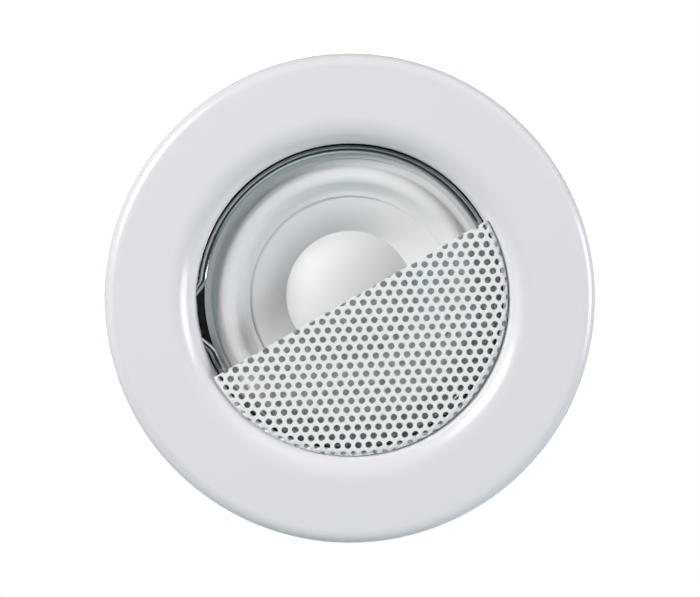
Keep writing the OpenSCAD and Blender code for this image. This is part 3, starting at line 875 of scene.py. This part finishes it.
def rivet_pieces():
    """The four rivets between the basket and the plate, and the one that holds the terminal board."""
    shank, board_shank = 0.86, 0.76
    for i, a in enumerate(DIAGONALS):
        x, y = RIVET_CIRCLE * math.cos(math.radians(a)), RIVET_CIRCLE * math.sin(math.radians(a))
        profile = [(0.0, PLATE_Z - 1.5), (shank, PLATE_Z - 1.5), (shank, FLOOR_Z + HAIR)]
        profile += domed(1.6, 0.64, FLOOR_Z + HAIR, dimple=0.25)
        piece = spun(f"frame_rivet_{i + 1}", profile, (x, y, 0), (0, 0, 1))
        finish_piece(piece, "frame_rivets", "speaker")
    back = PLATE_Z - HAIR - 1
    profile = [(r, 2 * back - h) for r, h in domed(1.5, 0.68, back + HAIR)][::-1]
    profile += [(board_shank, back - HAIR), (board_shank, FLOOR_Z + HAIR)]
    profile += domed(1.5, 0.58, FLOOR_Z + HAIR, dimple=0.3)
    finish_piece(spun("board_rivet", profile, (0, BOARD_Y, 0), (0, 0, 1)), "terminal_rivet", "speaker")


def on_coil(a, y):
    """A point of the wire's middle, on its turns about the pin of the right-hand clip."""
    return Vector((
        HINGE_X + COIL_MEAN_R * math.cos(math.radians(a)), y,
        HINGE_Z + COIL_MEAN_R * math.sin(math.radians(a)),
    ))


def clip_wire(name, line, side):
    """A wire along a line drawn for the right-hand clip. The left-hand clip is the same, turned half round."""
    return tube(name, [place(side * p.x, side * p.y, p.z) for p in line], (WIRE_R - 0.004) * MM, 16)


def fixed_coils(side, word):
    """Two coils on the pin, with straight tails against the collar."""
    turns, steps, start, tail_l = 1.75, 150, 169, 4.7
    y0, y1 = EAR_Y + EAR_T + WIRE_R + 0.1, LOOP_Y - 2.5 * WIRE_R
    tail = Vector((-math.sin(math.radians(start)), 0, math.cos(math.radians(start)))) * tail_l
    for end, letter in ((-1, "a"), (1, "b")):
        coil = []
        for i in range(steps + 1):
            y = end * (y0 + (y1 - y0) * max(0, i / steps - 0.05) / 0.95)
            coil.append(on_coil(start - 360 * turns * i / steps, y))
        line = [coil[0] + tail * k / 6 for k in range(6, 0, -1)] + coil
        finish_piece(clip_wire(f"{word}_coil_{letter}", line, side), f"{word}_spring", "speaker")


def swinging_loop(side, word):
    """One wire: a turn about the pin, an arm, the bar at the tip, and the same back again."""
    reach = math.hypot(TIP_X - HINGE_X, TIP_Z - HINGE_Z)
    arm_l = math.sqrt(reach * reach - COIL_MEAN_R * COIL_MEAN_R)
    lean = math.degrees(math.atan2(TIP_X - HINGE_X, TIP_Z - HINGE_Z) + math.atan2(COIL_MEAN_R, arm_l))
    leave, turn_by, turn_steps, bends = 180 - lean, 275, 90, 14
    straight = arm_l - LOOP_BEND
    d = Vector((math.sin(math.radians(lean)), 0, math.cos(math.radians(lean))))
    foot = on_coil(leave, 0)

    def half_path(s):
        points = [
            on_coil(leave + turn_by * (1 - i / turn_steps), s * LOOP_Y) for i in range(turn_steps + 1)
        ]
        points += [foot + Vector((0, s * LOOP_Y, 0)) + d * straight * k / 8 for k in range(1, 9)]
        for i in range(1, bends + 1):
            a = math.radians(90 * i / bends)
            y = s * (LOOP_Y - LOOP_BEND + LOOP_BEND * math.cos(a))
            points.append(foot + Vector((0, y, 0)) + d * (straight + LOOP_BEND * math.sin(a)))
        return points

    loop = clip_wire(f"{word}_loop", half_path(1) + half_path(-1)[::-1], side)
    finish_piece(loop, f"{word}_arm", f"{word}_clip")


def sleeve(side, word):
    """The plastic tube over the loop's bar."""
    half, bore, skin, soft = LOOP_Y - LOOP_BEND - 0.3, WIRE_R + 0.05, WIRE_R + 0.45, 0.14
    profile = [
        (bore, -half + 0.05), (bore + 0.05, -half), (skin - soft, -half), (skin - 0.04, -half + 0.04),
        (skin, -half + soft), (skin, 0), (skin, half - soft), (skin - 0.04, half - 0.04), (skin - soft, half),
        (bore + 0.05, half), (bore, half - 0.05),
    ]
    origin = Vector((side * TIP_X, 0, TIP_Z))
    finish_piece(spun(f"{word}_tube", profile, origin, (0, 1, 0), 40), f"{word}_sleeve", f"{word}_clip")


def hinge_pin(side, word):
    half, shank = LOOP_Y + WIRE_R + 0.15, 1.0
    profile = [(r, -h) for r, h in domed(1.8, 0.8, half, rim=0.3)][::-1]
    profile += [(shank, -half), (shank, half)] + domed(1.8, 0.8, half, rim=0.3, dimple=0.2)
    origin = Vector((side * HINGE_X, 0, HINGE_Z))
    finish_piece(spun(f"{word}_hinge_pin", profile, origin, (0, 1, 0)), f"{word}_pin", "speaker")


def bracket_rivets(side, word):
    """The two rivets that hold a clip's bracket to the collar."""
    inside, outside, shank = MOUTH_R - 0.35, COLLAR_R + SHEET + HAIR, 0.97
    for i, z in enumerate((-7.1, -11.7)):
        profile = [(r, 2 * inside - h) for r, h in domed(1.5, 0.5, inside)][::-1]
        profile += [(1.5, inside + 0.25), (shank, inside + 0.25), (shank, outside + HAIR)]
        profile += domed(1.6, 0.63, outside + HAIR, dimple=0.2)
        piece = spun(f"{word}_rivet_{i + 1}", profile, (0, 0, z), (side, 0, 0))
        finish_piece(piece, f"{word}_rivets", "speaker")


def clip(side):
    word = "right" if side > 0 else "left"
    for part in (fixed_coils, swinging_loop, sleeve, hinge_pin, bracket_rivets):
        part(side, word)


trim_ring()
grille()
retaining_ring()
rim_gasket()
surround()
cone()
dust_cap()
spider()
coil_winding()
lead(-1)
lead(1)
soldered_ends()
glue_joint("glue_front", 17.6, MAGNET_FRONT, 0.4)
glue_joint("glue_back", 16.9, MAGNET_BACK, 0.4)
rivet_pieces()
clip(-1)
clip(1)


# ---------------------------------------------------------------- stage, light and camera

CAMERA_DISTANCE, CAMERA_RISE, LOOK_AT = 0.7, math.radians(4.5), Vector((0.0, -0.001, 0.0))
RING_SHARE = 0.7014286
CAMERA_AT = LOOK_AT + CAMERA_DISTANCE * Vector((0, -math.cos(CAMERA_RISE), math.sin(CAMERA_RISE)))


def shown_to_camera(tree, lit, seen, out):
    """What the camera sees directly is evenly pale, and everything else gets the lit shader."""
    path = tree.nodes.new("ShaderNodeLightPath")
    mix = tree.nodes.new("ShaderNodeMixShader")
    tree.links.new(path.outputs["Is Camera Ray"], mix.inputs[0])
    tree.links.new(lit, mix.inputs[1])
    tree.links.new(seen, mix.inputs[2])
    tree.links.new(mix.outputs[0], out)


def stage():
    """A pale floor, far enough below the object that nothing casts a shadow in view."""
    half, z = 5, -1.1
    corners = [(-half, -half, z), (half, -half, z), (half, half, z), (-half, half, z)]
    floor = add("floor", corners, [(0, 1, 2, 3)])
    shade = bpy.data.materials.new("floor_paper")
    shade.use_nodes = True
    tree = shade.node_tree
    bsdf = tree.nodes["Principled BSDF"]
    bsdf.inputs["Base Color"].default_value = (0.86, 0.87, 0.88, 1)
    bsdf.inputs["Roughness"].default_value = 0.8
    seen = tree.nodes.new("ShaderNodeEmission")
    seen.inputs["Color"].default_value = (0.955, 0.957, 0.96, 1)
    shown_to_camera(tree, bsdf.outputs[0], seen.outputs[0], tree.nodes["Material Output"].inputs["Surface"])
    floor.data.materials.append(shade)


def light_flag():
    """An unseen card behind the grille's cut, edge on to the camera. The light that comes in over the cut
    stops there, so that the driver behind the grille is lit through its holes alone, as in the photograph."""
    a = math.radians(CUT_TURN)
    reach, depth, inset = 23.0, 14.0, 0.1
    x, y = inset * math.sin(a), -inset * math.cos(a)
    near = [
        place(x + t * math.cos(a), y + t * math.sin(a), GRILLE_H - GRILLE_T) for t in (-reach, reach)
    ]
    far = [p + (p - CAMERA_AT) * depth * MM / CAMERA_DISTANCE for p in near]
    card = add("light_flag", near + far[::-1], [(0, 1, 2, 3)])
    card.data.materials.append(MATERIALS["gasket_foam"])
    card.visible_camera = card.visible_glossy = card.visible_diffuse = card.visible_transmission = False


def area_light(name, angle, tilt, size, power, colour=(1, 1, 1)):
    """A square soft box a metre away. Its angle is anticlockwise from the right as the camera sees it.
    Its tilt is off the speaker's axis, and beyond 90 degrees it lights the back."""
    data = bpy.data.lights.new(name, "AREA")
    data.energy, data.color, data.shape, data.size = power, colour, "SQUARE", size
    light = bpy.data.objects.new(name, data)
    a, t = math.radians(angle), math.radians(tilt)
    light.location = (math.sin(t) * math.cos(a), -math.cos(t), math.sin(t) * math.sin(a))
    light.rotation_euler = (-light.location).to_track_quat("-Z", "Y").to_euler()
    bpy.context.scene.collection.objects.link(light)


LIGHTS = [
    ("key_upper_left", 150, 57, 0.4, 10.4, (1, 0.935, 0.93)),
    ("right", 0, 70, 0.5, 6.8, (1, 0.98, 1)),
    ("upper_right", 50, 72, 0.9, 2.5, (1, 0.98, 1)),
    ("left", 180, 60, 0.6, 1.0, (0.6, 1, 1)),
    ("below", 300, 60, 0.8, 1.2, (0.65, 1, 1)),
    ("rear_left", 35, 160, 0.9, 5.5, (1, 0.99, 0.98)),
    ("rear_right", 140, 166, 0.9, 4.0, (0.97, 0.99, 1)),
    ("rear_low", 270, 160, 0.9, 2.0, (0.97, 0.99, 1)),
]
AMBIENT, AMBIENT_COLOUR = 0.055, (0.5, 0.96, 1, 1)


def lights():
    """The soft boxes, and a faint cool sky, which the camera sees as white."""
    for values in LIGHTS:
        area_light(*values)
    world = bpy.data.worlds.new("studio")
    bpy.context.scene.world = world
    world.use_nodes = True
    tree = world.node_tree
    sky = tree.nodes["Background"]
    sky.inputs["Color"].default_value = AMBIENT_COLOUR
    sky.inputs["Strength"].default_value = AMBIENT
    seen = tree.nodes.new("ShaderNodeBackground")
    seen.inputs["Color"].default_value = (1, 1, 1, 1)
    seen.inputs["Strength"].default_value = 1.0
    shown_to_camera(tree, sky.outputs[0], seen.outputs[0], tree.nodes["World Output"].inputs["Surface"])


def camera():
    """Nearly face on, a little above, with a long lens, so that the ring fills 70% of the picture's width."""
    data = bpy.data.cameras.new("camera")
    data.sensor_width = 36.0
    data.lens = data.sensor_width * CAMERA_DISTANCE * RING_SHARE / (2 * RING_R * MM)
    data.clip_start, data.clip_end = 0.01, 20
    cam = bpy.data.objects.new("camera", data)
    cam.location = CAMERA_AT
    cam.rotation_euler = (LOOK_AT - CAMERA_AT).to_track_quat("-Z", "Y").to_euler()
    bpy.context.scene.collection.objects.link(cam)
    bpy.context.scene.camera = cam


stage()
light_flag()
lights()
camera()
bpy.context.scene.view_settings.view_transform = "Standard"
